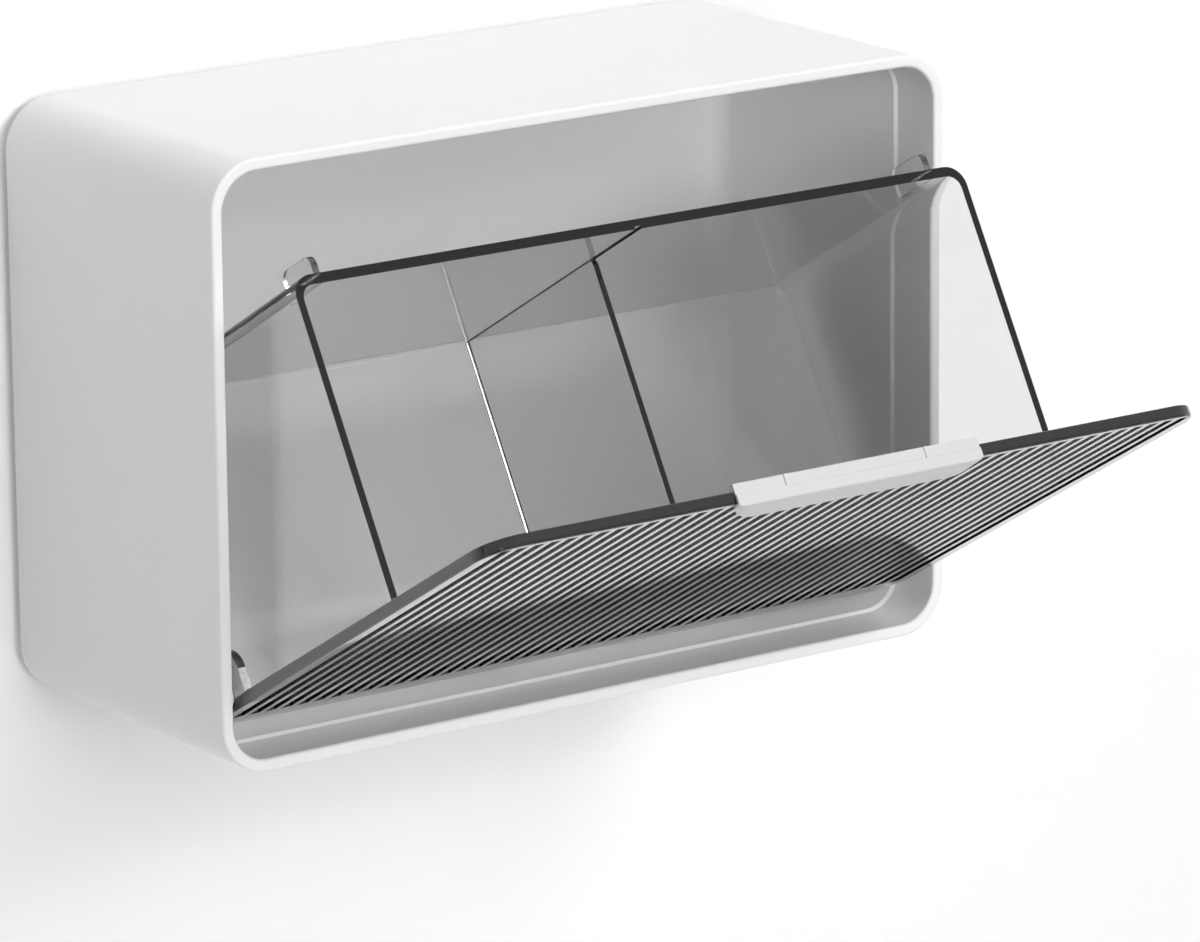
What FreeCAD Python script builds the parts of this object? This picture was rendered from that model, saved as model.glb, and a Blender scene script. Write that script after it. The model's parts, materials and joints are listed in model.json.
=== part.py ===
import FreeCAD, Part
import math
import os

from FreeCAD import Vector

# Wall-mounted box for small toiletries, with a smoke-grey bin that tilts out of a white casing.
# The wall is the plane y = 0 and the front faces -Y. The origin is the centre of the adhesive pad's
# rear face. Sizes are in millimetres.

# Casing
casing_width = 180.0
casing_height = 124.2
casing_depth = 76.5
casing_corner_radius = 10.5
casing_wall = 2.6
casing_back_wall = 2.0
rim_round = 0.6
rear_edge_round = 0.5

# Rebate inside the front rim, and the cavity behind it
rebate_depth = 12.2
rebate_step = 0.5
rebate_slope = 0.8
cavity_back_fillet = 5.0

# Front panel
panel_gap = 0.8
panel_thickness = 2.45
panel_edge_round = 0.3

# Flutes in the front panel
flute_count = 44
flute_width = 2.3
flute_depth = 0.8
flute_end_radius = 0.5
flute_side_margin = 3.35
flute_bottom_margin = 6.5
flute_top_margin = 1.8

# Hinge: the pivot is measured up from the panel's bottom edge and back from its outer face
open_angle = 60.0
pivot_up = 12.6
pivot_back = 3.4
pin_radius = 1.5
pin_running_clearance = 0.05
pin_seat_depth = 1.7
pin_collar_radius = 2.6
pin_collar_thickness = 0.5
pin_end_setback = 0.2

# Hinge lugs of the front panel
lug_thickness = 1.85
lug_bottom = 9.2
lug_top = 19.2
lug_reach = 12.0

# Open stop: a peg on each side wall, which the panel's lower edge meets
stop_radius = 1.2
stop_up = 3.6
stop_length = 4.2
stop_clearance = 0.2

# Bin
bin_side_inset = 4.4
bin_height = 72.7
bin_back = 69.9
bin_floor_up = 1.5
bin_floor_thickness = 2.0
bin_side_wall = 1.6
bin_back_wall = 2.1
bin_corner_radius = 4.5
bin_bottom_round = 2.5
bin_rim_round = 0.3

# Ears behind the bin
ear_thickness = 1.5
ear_inset = 6.5
ear_bottom = 60.0
ear_top = 71.0
ear_corner_radius = 2.0
ear_clearance = 0.3

# Divider, and its grooves in the bin's floor and rear wall
divider_thickness = 1.4
divider_top = 55.0
divider_corner_radius = 2.0
divider_front_gap = 0.3
groove_depth = 0.6
groove_side_clearance = 0.1
groove_end_clearance = 0.1

# Pull handle
handle_length = 59.2
handle_cap = 0.6
handle_swing_clearance = 0.4
handle_skirt_height = 4.7
handle_top_reach = 0.8
handle_skirt_reach = 2.1
handle_lip_thickness = 1.5
handle_lip_height = 4.6
handle_corner_radius = 4.6
handle_end_length = 6.0
handle_end_reach = 0.4
handle_step = 0.3
handle_step_back = 1.6
handle_rib_spacing = 34.0
handle_rib_width = 1.3

# Wall plate, its hooks and the adhesive pad
plate_width = 120.0
plate_height = 70.0
plate_thickness = 1.6
plate_corner_radius = 6.0
plate_gap = 0.1
plate_top_drop = 9.2
hook_spacing = 70.0
hook_width = 8.0
hook_neck_height = 2.4
hook_lip_height = 3.0
hook_lip_thickness = 1.6
hook_clearance = 0.2
hook_drop = 6.8
slot_side_clearance = 0.5
slot_lift = 5.0
pad_width = 110.0
pad_height = 60.0
pad_thickness = 1.0
pad_corner_radius = 4.0

# Places that follow from the sizes above
stand_off = pad_thickness + plate_thickness + plate_gap
casing_rear_y = -stand_off
casing_front_y = casing_rear_y - casing_depth
cavity_rear_y = casing_rear_y - casing_back_wall
plate_centre_from_top = plate_top_drop + plate_height / 2
casing_top_z = plate_centre_from_top
casing_bottom_z = casing_top_z - casing_height
mouth_width = casing_width - 2 * casing_wall
mouth_height = casing_height - 2 * casing_wall
mouth_corner_radius = casing_corner_radius - casing_wall

panel_width = mouth_width - 2 * panel_gap
panel_height = mouth_height - panel_gap - handle_cap - handle_swing_clearance
panel_corner_radius = mouth_corner_radius - panel_gap / 2
panel_bottom_z = casing_bottom_z + casing_wall + panel_gap
pivot = Vector(0, casing_front_y + pivot_back, panel_bottom_z + pivot_up)

bin_width = panel_width - 2 * bin_side_inset
bin_inside_back = bin_back - bin_back_wall
bin_floor_top = bin_floor_up + bin_floor_thickness

slot_top_z = casing_top_z - casing_wall - rebate_step - hook_drop - hook_lip_height - hook_clearance


def rounded_plate(width, height, radius, thickness, centre_x, bottom_z, front_y):
    """A plate in the XZ plane with rounded corners, its front at front_y."""
    left, right = centre_x - width / 2, centre_x + width / 2
    top_z = bottom_z + height
    diagonal = radius * (1 - math.sqrt(0.5))
    edges = []
    corners = (
        (right, bottom_z, -1, 1),
        (right, top_z, -1, -1),
        (left, top_z, 1, -1),
        (left, bottom_z, 1, 1),
    )
    arcs = []
    for index, (x, z, toward_x, toward_z) in enumerate(corners):
        along_x = Vector(x + toward_x * radius, front_y, z)
        along_z = Vector(x, front_y, z + toward_z * radius)
        middle = Vector(x + toward_x * diagonal, front_y, z + toward_z * diagonal)
        start, end = (along_x, along_z) if index % 2 == 0 else (along_z, along_x)
        arcs.append((start, middle, end))
    for index, (start, middle, end) in enumerate(arcs):
        edges.append(Part.Arc(start, middle, end).toShape())
        edges.append(Part.makeLine(end, arcs[(index + 1) % len(arcs)][0]))
    face = Part.Face(Part.Wire(edges))
    return face.extrude(Vector(0, thickness, 0))


def block(x_range, y_range, z_range):
    """A box between two corners."""
    low = Vector(x_range[0], y_range[0], z_range[0])
    size = [pair[1] - pair[0] for pair in (x_range, y_range, z_range)]
    return Part.makeBox(size[0], size[1], size[2], low)


def rod(radius, x_range, y, z):
    """A cylinder along X."""
    return Part.makeCylinder(radius, x_range[1] - x_range[0], Vector(x_range[0], y, z), Vector(1, 0, 0))


def profile_along_x(points, x_range):
    """A polygon in the YZ plane, drawn out along X."""
    corners = [Vector(x_range[0], y, z) for y, z in points]
    face = Part.Face(Part.makePolygon(corners + corners[:1]))
    return face.extrude(Vector(x_range[1] - x_range[0], 0, 0))


def edges_where(shape, test):
    """The edges of a shape whose centre passes a test."""
    return [edge for edge in shape.Edges if test(edge.CenterOfMass, edge)]


def mirrored(shape):
    """The same shape on the other side of the middle plane."""
    return shape.mirror(Vector(0, 0, 0), Vector(1, 0, 0))


def opened(shape):
    """Turns a piece of the closed bin about the hinge axis into its open position."""
    turned = shape.copy()
    turned.rotate(pivot, Vector(1, 0, 0), open_angle)
    return turned


def casing_cavity():
    """The space inside the casing: the mouth, a sloped rebate and the cavity with its rounded back."""
    rebate_y = casing_front_y + rebate_depth
    cavity_y = rebate_y + rebate_slope
    mouth = rounded_plate(
        mouth_width, mouth_height, mouth_corner_radius, rebate_depth + 1,
        0, casing_bottom_z + casing_wall, casing_front_y - 1,
    )
    inner_radius = mouth_corner_radius - rebate_step
    inner_width = mouth_width - 2 * rebate_step
    inner_height = mouth_height - 2 * rebate_step
    inner_bottom_z = casing_bottom_z + casing_wall + rebate_step
    cavity = rounded_plate(
        inner_width, inner_height, inner_radius, cavity_rear_y - cavity_y, 0, inner_bottom_z, cavity_y,
    )
    rear_edges = edges_where(cavity, lambda centre, edge: abs(centre.y - cavity_rear_y) < 1e-6)
    cavity = cavity.makeFillet(cavity_back_fillet, rear_edges)
    mouth_rear = rounded_plate(
        mouth_width, mouth_height, mouth_corner_radius, 1, 0, casing_bottom_z + casing_wall, rebate_y,
    )
    cavity_front = rounded_plate(
        inner_width, inner_height, inner_radius, 1, 0, inner_bottom_z, cavity_y,
    )
    wide_wire = face_at(mouth_rear, rebate_y).OuterWire
    narrow_wire = face_at(cavity_front, cavity_y).OuterWire
    slope = Part.makeLoft([wide_wire, narrow_wire], True, True)
    return mouth.fuse([slope, cavity]).removeSplitter()


def face_at(shape, y):
    """The flat face of a shape that lies at y and faces along Y."""
    for face in shape.Faces:
        box = face.BoundBox
        if abs(box.YMin - y) < 1e-6 and abs(box.YMax - y) < 1e-6:
            return face
    raise ValueError("no face at y = %s" % y)


def outer_casing():
    """White box, open at the front, with pin sockets, open stops and slots for the wall plate's hooks."""
    shell = rounded_plate(
        casing_width, casing_height, casing_corner_radius, casing_depth, 0, casing_bottom_z, casing_front_y,
    )
    rear_edges = edges_where(shell, lambda centre, edge: abs(centre.y - casing_rear_y) < 1e-6)
    shell = shell.makeFillet(rear_edge_round, rear_edges)
    shell = shell.cut(casing_cavity())
    rim_edges = edges_where(shell, lambda centre, edge: abs(centre.y - casing_front_y) < 1e-6)
    shell = shell.makeFillet(rim_round, rim_edges)

    inside_x = mouth_width / 2
    socket = rod(pin_radius, (inside_x - 1, inside_x + pin_seat_depth), pivot.y, pivot.z)
    peg = rod(stop_radius, (inside_x - stop_length, inside_x + casing_wall / 2), *stop_place())
    slot_half = hook_width / 2 + slot_side_clearance
    slot_bottom_z = slot_top_z - hook_neck_height - slot_lift
    cuts = [socket, mirrored(socket)]
    for side in (-1, 1):
        middle = side * hook_spacing / 2
        cuts.append(block(
            (middle - slot_half, middle + slot_half),
            (cavity_rear_y - 1, casing_rear_y + 1),
            (slot_bottom_z, slot_top_z),
        ))
    return shell.fuse([peg, mirrored(peg)]).cut(cuts).removeSplitter()


def stop_place():
    """The y and z of the open stop: just behind the open panel's inner face, near its lower edge."""
    angle = math.radians(open_angle)
    up = stop_up - pivot_up
    back = panel_thickness + stop_radius + stop_clearance - pivot_back
    y = pivot.y + back * math.cos(angle) - up * math.sin(angle)
    z = pivot.z + back * math.sin(angle) + up * math.cos(angle)
    return y, z


def closed_y(back):
    """The y of a point that lies back from the closed panel's outer face."""
    return casing_front_y + back


def closed_z(up):
    """The z of a point that lies up from the closed panel's bottom edge."""
    return panel_bottom_z + up


def flute(centre_x):
    """One upright groove in the panel's outer face."""
    bottom = flute_bottom_margin
    height = panel_height - flute_bottom_margin - flute_top_margin
    return rounded_plate(
        flute_width, height, flute_end_radius, flute_depth + 1,
        centre_x, closed_z(bottom), closed_y(-1),
    )


def hinge_lug():
    """The left lug with its rounded end, before its bore."""
    end_radius = (lug_top - lug_bottom) / 2
    left = -panel_width / 2
    x_range = (left, left + lug_thickness)
    centre_y = closed_y(lug_reach - end_radius)
    centre_z = closed_z((lug_top + lug_bottom) / 2)
    y_range = (closed_y(panel_thickness / 2), centre_y)
    arm = block(x_range, y_range, (closed_z(lug_bottom), closed_z(lug_top)))
    return arm.fuse(rod(end_radius, x_range, centre_y, centre_z))


def fluted_front():
    """Front panel with upright flutes and a bored lug at each side."""
    panel = rounded_plate(
        panel_width, panel_height, panel_corner_radius, panel_thickness, 0, closed_z(0), closed_y(0),
    )
    outer_y, inner_y = closed_y(0), closed_y(panel_thickness)
    face_edges = edges_where(
        panel, lambda centre, edge: min(abs(centre.y - outer_y), abs(centre.y - inner_y)) < 1e-6,
    )
    panel = panel.makeFillet(panel_edge_round, face_edges)
    lug = hinge_lug()
    panel = panel.fuse([lug, mirrored(lug)])

    first = -panel_width / 2 + flute_side_margin + flute_width / 2
    pitch = -2 * first / (flute_count - 1)
    cuts = [flute(first + index * pitch) for index in range(flute_count)]
    bore_radius = pin_radius + pin_running_clearance
    bore = rod(
        bore_radius, (-panel_width / 2 - 1, -panel_width / 2 + lug_thickness + pin_end_setback),
        pivot.y, pivot.z,
    )
    cuts += [bore, mirrored(bore)]
    return opened(panel.cut(cuts).removeSplitter())


def divider_groove():
    """The space that the divider's lower and rear edges run in, open at the bin's rim."""
    half = divider_thickness / 2 + groove_side_clearance
    return block(
        (-half, half),
        (closed_y(0), closed_y(bin_inside_back + groove_depth)),
        (closed_z(bin_floor_top - groove_depth), closed_z(bin_height + 1)),
    )


def bin_ear():
    """The left ear behind the bin's rear wall, which meets the casing's back when the bin is closed."""
    inner = -bin_width / 2 + ear_inset
    tip_y = cavity_rear_y - ear_clearance
    root_y = closed_y(bin_back - bin_back_wall / 2)
    ear = block((inner, inner + ear_thickness), (root_y, tip_y), (closed_z(ear_bottom), closed_z(ear_top)))
    corners = edges_where(
        ear,
        lambda centre, edge: abs(centre.y - tip_y) < 1e-6 and edge.BoundBox.XLength > ear_thickness / 2,
    )
    return ear.makeFillet(ear_corner_radius, corners)


def tilt_bin():
    """Bin with a floor, two side walls and a rear wall, bonded to the front panel's inner face."""
    outside = block(
        (-bin_width / 2, bin_width / 2),
        (closed_y(panel_thickness), closed_y(bin_back)),
        (closed_z(bin_floor_up), closed_z(bin_height)),
    )
    rear_corners = edges_where(
        outside,
        lambda centre, edge: edge.BoundBox.ZLength > 1 and abs(centre.y - closed_y(bin_back)) < 1e-6,
    )
    outside = outside.makeFillet(bin_corner_radius, rear_corners)
    bottom_edges = edges_where(
        outside,
        lambda centre, edge: abs(centre.z - closed_z(bin_floor_up)) < 1e-6
        and abs(centre.y - closed_y(panel_thickness)) > 1e-6,
    )
    outside = outside.makeFillet(bin_bottom_round, bottom_edges)

    inner_half = bin_width / 2 - bin_side_wall
    inside = block(
        (-inner_half, inner_half),
        (closed_y(panel_thickness - 1), closed_y(bin_inside_back)),
        (closed_z(bin_floor_top), closed_z(bin_height + 1)),
    )
    inner_corners = edges_where(
        inside,
        lambda centre, edge: edge.BoundBox.ZLength > 1 and abs(centre.y - closed_y(bin_inside_back)) < 1e-6,
    )
    inside = inside.makeFillet(bin_corner_radius - bin_side_wall, inner_corners)
    shell = outside.cut(inside)
    rim_edges = edges_where(
        shell,
        lambda centre, edge: abs(centre.z - closed_z(bin_height)) < 1e-6
        and abs(centre.y - closed_y(panel_thickness)) > 1e-6,
    )
    shell = shell.makeFillet(bin_rim_round, rim_edges)
    ear = bin_ear()
    return opened(shell.fuse([ear, mirrored(ear)]).cut(divider_groove()).removeSplitter())


def bin_divider():
    """Loose plate between the two compartments, held in the bin's grooves."""
    half = divider_thickness / 2
    reach = groove_depth - groove_end_clearance
    plate = block(
        (-half, half),
        (closed_y(panel_thickness + divider_front_gap), closed_y(bin_inside_back + reach)),
        (closed_z(bin_floor_top - reach), closed_z(divider_top)),
    )
    top_corners = edges_where(
        plate,
        lambda centre, edge: edge.BoundBox.XLength > half and abs(centre.z - closed_z(divider_top)) < 1e-6,
    )
    return opened(plate.makeFillet(divider_corner_radius, top_corners))


def handle_plan():
    """What the handle covers seen along the panel: straight in front, curved back at both ends."""
    half = handle_length / 2
    rear_y = closed_y(panel_thickness + handle_lip_thickness)
    front_y = closed_y(-handle_skirt_reach)
    end_y = closed_y(-handle_end_reach)
    sagitta = end_y - front_y
    radius = (handle_end_length ** 2 + sagitta ** 2) / (2 * sagitta)
    half_turn = math.asin(handle_end_length / radius) / 2
    bend_x = half - handle_end_length + radius * math.sin(half_turn)
    bend_y = front_y + radius * (1 - math.cos(half_turn))
    bottom_z = closed_z(panel_height - handle_skirt_height)
    left_tip, right_tip = Vector(-half, end_y, bottom_z), Vector(half, end_y, bottom_z)
    left_start = Vector(-half + handle_end_length, front_y, bottom_z)
    right_start = Vector(half - handle_end_length, front_y, bottom_z)
    left_rear, right_rear = Vector(-half, rear_y, bottom_z), Vector(half, rear_y, bottom_z)
    outline = Part.Wire([
        Part.makeLine(left_rear, left_tip),
        Part.Arc(left_tip, Vector(-bend_x, bend_y, bottom_z), left_start).toShape(),
        Part.makeLine(left_start, right_start),
        Part.Arc(right_start, Vector(bend_x, bend_y, bottom_z), right_tip).toShape(),
        Part.makeLine(right_tip, right_rear),
        Part.makeLine(right_rear, left_rear),
    ])
    return Part.Face(outline).extrude(Vector(0, 0, handle_skirt_height + handle_cap))


def pull_handle():
    """Clip over the panel's top edge: a stepped cap, a skirt that leans out in front and a lip behind."""
    top = panel_height + handle_cap
    lip_back = panel_thickness + handle_lip_thickness
    skirt_bottom = panel_height - handle_skirt_height
    outline = [
        (closed_y(-handle_top_reach), closed_z(top)),
        (closed_y(handle_step_back), closed_z(top)),
        (closed_y(handle_step_back), closed_z(top - handle_step)),
        (closed_y(lip_back), closed_z(top - handle_step)),
        (closed_y(lip_back), closed_z(panel_height - handle_lip_height)),
        (closed_y(panel_thickness), closed_z(panel_height - handle_lip_height)),
        (closed_y(panel_thickness), closed_z(panel_height)),
        (closed_y(0), closed_z(panel_height)),
        (closed_y(0), closed_z(skirt_bottom)),
        (closed_y(-handle_skirt_reach), closed_z(skirt_bottom)),
    ]
    half = handle_length / 2
    rib_half = handle_rib_width / 2
    pieces = []
    for side in (-1, 1):
        middle = side * handle_rib_spacing / 2
        pieces.append(block(
            (middle - rib_half, middle + rib_half),
            (closed_y(panel_thickness / 2), closed_y(lip_back)),
            (closed_z(panel_height + handle_cap / 4), closed_z(top)),
        ))
    clip = profile_along_x(outline, (-half, half)).fuse(pieces).common(handle_plan())
    elevation = rounded_plate(
        handle_length, 2 * handle_skirt_height + 2 * handle_corner_radius, handle_corner_radius,
        handle_skirt_reach + lip_back, 0, closed_z(skirt_bottom), closed_y(-handle_skirt_reach),
    )
    return opened(clip.common(elevation).removeSplitter())


def hinge_pin():
    """The left hinge pin: a shaft seated in the casing's side wall, with a collar that spaces the lug."""
    wall_x = -mouth_width / 2
    lug_inner_x = -panel_width / 2 + lug_thickness
    shaft = rod(pin_radius, (wall_x - pin_seat_depth, lug_inner_x - pin_end_setback), pivot.y, pivot.z)
    collar = rod(pin_collar_radius, (wall_x, wall_x + pin_collar_thickness), pivot.y, pivot.z)
    return shaft.fuse(collar).removeSplitter()


def wall_plate():
    """Flat plate behind the casing with two hooks that reach through the casing's slots."""
    front_y = -pad_thickness - plate_thickness
    plate = rounded_plate(
        plate_width, plate_height, plate_corner_radius, plate_thickness, 0, -plate_height / 2, front_y,
    )
    neck_top_z = slot_top_z - plate_gap
    neck_bottom_z = neck_top_z - hook_neck_height
    lip_rear_y = cavity_rear_y - hook_clearance
    lip_front_y = lip_rear_y - hook_lip_thickness
    pieces = []
    for side in (-1, 1):
        x_range = (side * hook_spacing / 2 - hook_width / 2, side * hook_spacing / 2 + hook_width / 2)
        neck_y = (lip_front_y, front_y + plate_thickness / 2)
        lip_y = (lip_front_y, lip_rear_y)
        pieces.append(block(x_range, neck_y, (neck_bottom_z, neck_top_z)))
        pieces.append(block(x_range, lip_y, (neck_bottom_z, neck_top_z + hook_lip_height)))
    return plate.fuse(pieces).removeSplitter()


def adhesive_pad():
    """Foam pad between the wall plate and the wall."""
    return rounded_plate(
        pad_width, pad_height, pad_corner_radius, pad_thickness, 0, -pad_height / 2, -pad_thickness,
    )


def main():
    """Builds each piece and writes it to its own file."""
    os.makedirs("parts", exist_ok=True)
    left_pin = hinge_pin()
    pieces = {
        "outer_casing": outer_casing(),
        "wall_plate": wall_plate(),
        "adhesive_pad": adhesive_pad(),
        "hinge_pin_left": left_pin,
        "hinge_pin_right": mirrored(left_pin),
        "fluted_front": fluted_front(),
        "tilt_bin": tilt_bin(),
        "bin_divider": bin_divider(),
        "pull_handle": pull_handle(),
    }
    for name, shape in pieces.items():
        shape.exportStep("parts/%s.step" % name)
        print(name, "solids", len(shape.Solids), "valid", shape.isValid(), "volume", round(shape.Volume, 1))


main()
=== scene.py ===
"""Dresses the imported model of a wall-mounted holder with a tilt-out smoke-grey bin.

Each sub-assembly is a class that models its pieces with bmesh operators and gives them a finish.
Lengths are in metres. The wall is the plane y = 0, the front faces -Y and +Z is up.
"""
from __future__ import annotations

import json
import logging
import math
from dataclasses import dataclass, field
from enum import Enum
from typing import Callable, Iterable, Sequence

import bmesh
import bpy
from bmesh.types import BMEdge, BMFace, BMVert
from mathutils import Matrix, Vector

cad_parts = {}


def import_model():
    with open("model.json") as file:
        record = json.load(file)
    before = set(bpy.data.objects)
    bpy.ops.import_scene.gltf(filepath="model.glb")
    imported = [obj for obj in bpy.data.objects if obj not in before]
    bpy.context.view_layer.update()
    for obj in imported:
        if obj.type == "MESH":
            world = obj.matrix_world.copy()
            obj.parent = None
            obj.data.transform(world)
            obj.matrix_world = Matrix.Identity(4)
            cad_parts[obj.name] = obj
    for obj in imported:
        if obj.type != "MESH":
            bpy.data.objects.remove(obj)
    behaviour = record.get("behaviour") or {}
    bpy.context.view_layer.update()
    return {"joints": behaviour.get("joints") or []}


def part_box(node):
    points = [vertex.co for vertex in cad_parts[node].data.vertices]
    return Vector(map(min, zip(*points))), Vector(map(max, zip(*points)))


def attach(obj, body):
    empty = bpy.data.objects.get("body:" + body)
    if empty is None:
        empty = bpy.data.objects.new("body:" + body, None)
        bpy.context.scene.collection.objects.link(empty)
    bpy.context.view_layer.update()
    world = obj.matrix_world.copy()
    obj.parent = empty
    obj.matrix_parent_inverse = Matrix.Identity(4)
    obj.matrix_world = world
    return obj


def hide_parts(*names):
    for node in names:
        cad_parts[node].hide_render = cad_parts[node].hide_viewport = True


MM = 0.001
# Places closer than TOUCH, in metres, are the same place. Cuts merge points closer than CUT.
TOUCH = 1e-6
CUT = TOUCH / 10
# A face is flat to an axis where its normal reaches this far along it.
SQUARE_ON = 0.999
# Faces that meet at more than CREASE radians make a real edge. SHARP_ANGLE is for shading.
CREASE = 1.0
SHARP_ANGLE = math.radians(31.0)
QUARTER_TURN = math.radians(90)
PLASTIC_IOR = 1.49

log = logging.getLogger("holder")


class Axis(Enum):
    """The three axes, by their place in a vector."""

    X = 0
    Y = 1
    Z = 2

    @property
    def unit(self) -> Vector:
        """The unit vector along this axis."""
        return Vector([1.0 if index == self.value else 0.0 for index in range(3)])


@dataclass(frozen=True)
class Span:
    """A stretch from low to high along one axis."""

    low: float
    high: float

    @property
    def middle(self) -> float:
        """Half way along the stretch."""
        return (self.low + self.high) / 2

    @property
    def length(self) -> float:
        """How long the stretch is."""
        return self.high - self.low

    def holds(self, value: float, slack: float = TOUCH) -> bool:
        """Whether a value lies in the stretch, give or take a little."""
        return self.low - slack <= value <= self.high + slack

    def mirrored(self) -> Span:
        """The same stretch on the other side of zero."""
        return Span(-self.high, -self.low)


@dataclass(frozen=True)
class Arc:
    """The rounding of an edge: its radius and how many flats make it."""

    radius: float
    flats: int


def with_parts(faces: Iterable[BMFace]) -> list[BMFace | BMEdge | BMVert]:
    """Faces with their edges and vertices, each once and always in the same order."""
    parts: dict = dict.fromkeys(faces)
    for face in list(parts):
        parts.update(dict.fromkeys(face.edges))
        parts.update(dict.fromkeys(face.verts))
    return list(parts)


def only(kind: type, items: Iterable[object]) -> list:
    """The items of one kind."""
    return [item for item in items if isinstance(item, kind)]


def folded(edges: Iterable[BMEdge], least: float = CREASE) -> list[BMEdge]:
    """The edges whose two faces meet at more than an angle, in radians."""
    return [edge for edge in edges if edge.calc_face_angle(0.0) > least]


class Moulding:
    """A closed mesh that is shaped step by step, like a moulded piece."""

    def __init__(self, x: Span, y: Span, z: Span) -> None:
        """Starts as a block.

        Args:
            x: The block's stretch along X.
            y: The block's stretch along Y.
            z: The block's stretch along Z.
        """
        self.bm = bmesh.new()
        centre = Vector((x.middle, y.middle, z.middle))
        scale = Matrix.Diagonal((x.length, y.length, z.length, 1.0))
        bmesh.ops.create_cube(self.bm, size=1.0, matrix=Matrix.Translation(centre) @ scale)

    @classmethod
    def drawn(cls, stations: Sequence[float], section: Callable[[float], list[Vector]]) -> Moulding:
        """Draws a cross-section out along X.

        Args:
            stations: The places along X, in order.
            section: Gives the cross-section's points at a place, always the same number.

        Returns:
            The closed piece.
        """
        made = cls.__new__(cls)
        made.bm = bmesh.new()
        number = made.bm.verts.layers.int.new("number")
        ring = []
        for index, point in enumerate(section(stations[0])):
            vert = made.bm.verts.new(point)
            vert[number] = index
            ring.append(vert)
        for index, vert in enumerate(ring):
            made.bm.edges.new((ring[index - 1], vert))
        first = bmesh.ops.contextual_create(made.bm, geom=made.bm.edges[:])["faces"][0]
        cap = [first.copy()]
        for x in stations[1:]:
            points = section(x)
            cap = made.push(cap, Vector((0, 0, 0)))
            for vert in cap[0].verts:
                vert.co = points[vert[number]]
        return made

    def edges(self, test: Callable[[Vector, Vector], bool]) -> list[BMEdge]:
        """Finds edges by where they are and how they run.

        Args:
            test: Takes an edge's middle and the size of its box, and says whether it is wanted.

        Returns:
            The edges that pass the test.
        """
        found = []
        for edge in self.bm.edges:
            first, second = (vert.co for vert in edge.verts)
            extent = Vector([abs(first[i] - second[i]) for i in range(3)])
            if test((first + second) / 2, extent):
                found.append(edge)
        return found

    def faces(self, axis: Axis, sign: int, at: float) -> list[BMFace]:
        """Finds flat faces that look along an axis.

        Args:
            axis: The axis that the faces look along.
            sign: 1 where they look up the axis, -1 where they look down it.
            at: Their place on that axis.

        Returns:
            The faces that are found.
        """
        found = []
        for face in self.bm.faces:
            face.normal_update()
            off = abs(face.calc_center_bounds()[axis.value] - at)
            if face.normal[axis.value] * sign >= SQUARE_ON and off <= TOUCH:
                found.append(face)
        return found

    def bevel(self, edges: Iterable[BMEdge], arc: Arc) -> None:
        """Rounds edges with an arc."""
        bmesh.ops.bevel(
            self.bm, geom=list(edges), offset=arc.radius, offset_type="OFFSET",
            segments=arc.flats, profile=0.5, affect="EDGES", material=-1, clamp_overlap=True,
        )

    def slice(self, faces: Iterable[BMFace], axis: Axis, at: float) -> list[BMFace]:
        """Cuts faces in two where a plane crosses them.

        Args:
            faces: The faces to cut.
            axis: The axis that the plane is square to.
            at: The plane's place on that axis.

        Returns:
            The faces after the cut.
        """
        made = bmesh.ops.bisect_plane(
            self.bm, geom=with_parts(faces), dist=CUT, plane_co=axis.unit * at, plane_no=axis.unit,
        )
        return only(BMFace, made["geom"])

    def window(
        self, faces: list[BMFace], first: tuple[Axis, Span], second: tuple[Axis, Span],
    ) -> list[BMFace]:
        """Cuts a rectangle out of flat faces.

        Args:
            faces: The faces to cut.
            first: An axis in their plane and the rectangle's stretch along it.
            second: The other axis and its stretch.

        Returns:
            The faces inside the rectangle.
        """
        for axis, span in (first, second):
            for at in (span.low, span.high):
                faces = self.slice(faces, axis, at)
        inside = []
        for face in faces:
            middle = face.calc_center_bounds()
            if all(span.holds(middle[axis.value], 0.0) for axis, span in (first, second)):
                inside.append(face)
        return inside

    def push(self, faces: Iterable[BMFace], move: Vector) -> list[BMFace]:
        """Extrudes faces and moves them.

        Args:
            faces: The faces to extrude.
            move: How far and which way they move.

        Returns:
            The moved faces.
        """
        made = bmesh.ops.extrude_face_region(self.bm, geom=with_parts(faces))["geom"]
        bmesh.ops.translate(self.bm, vec=move, verts=only(BMVert, made))
        return only(BMFace, made)

    def inset(self, face: BMFace, thickness: float, depth: float = 0.0) -> BMFace:
        """Insets one face and moves it.

        Args:
            face: The face to inset.
            thickness: How far in from its border the new loop runs.
            depth: How far the middle moves along its normal.

        Returns:
            The face that is left in the middle.
        """
        bmesh.ops.inset_region(
            self.bm, faces=[face], thickness=thickness, depth=depth,
            use_even_offset=True, use_boundary=True,
        )
        return face

    def add_rod(self, centre: Vector, side: Arc, length: float, end: Arc) -> None:
        """Adds a rod along X with softened ends.

        Args:
            centre: The rod's middle.
            side: Its radius and how many flats go round it.
            length: Its length.
            end: The rounding of its end edges.
        """
        turn = Matrix.Rotation(QUARTER_TURN, 4, "Y")
        made = bmesh.ops.create_cone(
            self.bm, cap_ends=True, segments=side.flats, radius1=side.radius,
            radius2=side.radius, depth=length, matrix=Matrix.Translation(centre) @ turn,
        )
        ends = dict.fromkeys(
            edge for vert in made["verts"] for edge in vert.link_edges
            if abs(edge.verts[0].co.x - edge.verts[1].co.x) < TOUCH
        )
        self.bevel(ends, end)

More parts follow.
